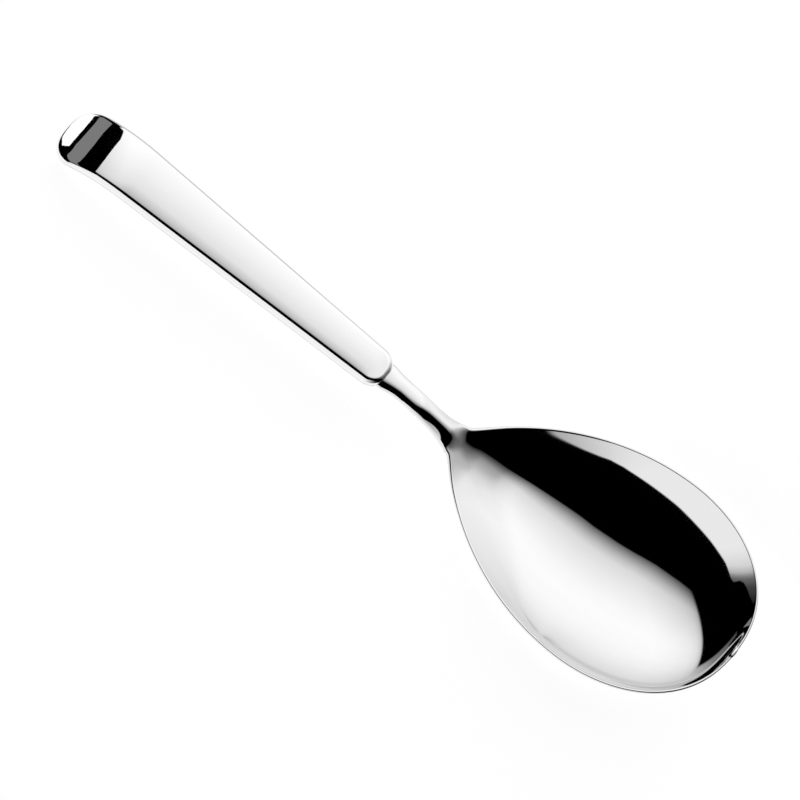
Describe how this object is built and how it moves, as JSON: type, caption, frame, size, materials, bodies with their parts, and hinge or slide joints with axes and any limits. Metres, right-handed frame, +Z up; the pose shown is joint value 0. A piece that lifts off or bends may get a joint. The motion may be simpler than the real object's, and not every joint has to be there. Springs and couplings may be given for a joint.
{
  "type": "serving spoon",
  "caption": "Mirror-polished steel serving spoon with an egg-shaped bowl, a slim oval neck and a flat hollow handle with a drooped end.",
  "frame": {"origin": "middle of the spoon's footprint, on the surface that it lies on", "axes": "+X along the spoon from the handle to the bowl's tip, +Y across it, +Z up out of the bowl"},
  "size_m": [0.2503, 0.0696, 0.019],
  "materials": {
    "forged_steel": "mirror-polished stainless steel",
    "handle_steel": "mirror-polished stainless steel",
    "weld": "ground and polished weld bead",
    "braze": "polished silver braze",
    "cement": "hardened filling cement"
  },
  "bodies": {
    "root": {"bowl_and_neck": "forged_steel", "handle_top_shell": "handle_steel", "handle_bottom_shell": "handle_steel", "seam_weld": "weld", "neck_braze": "braze", "tang_cement": "cement"}
  },
  "joints": []
}
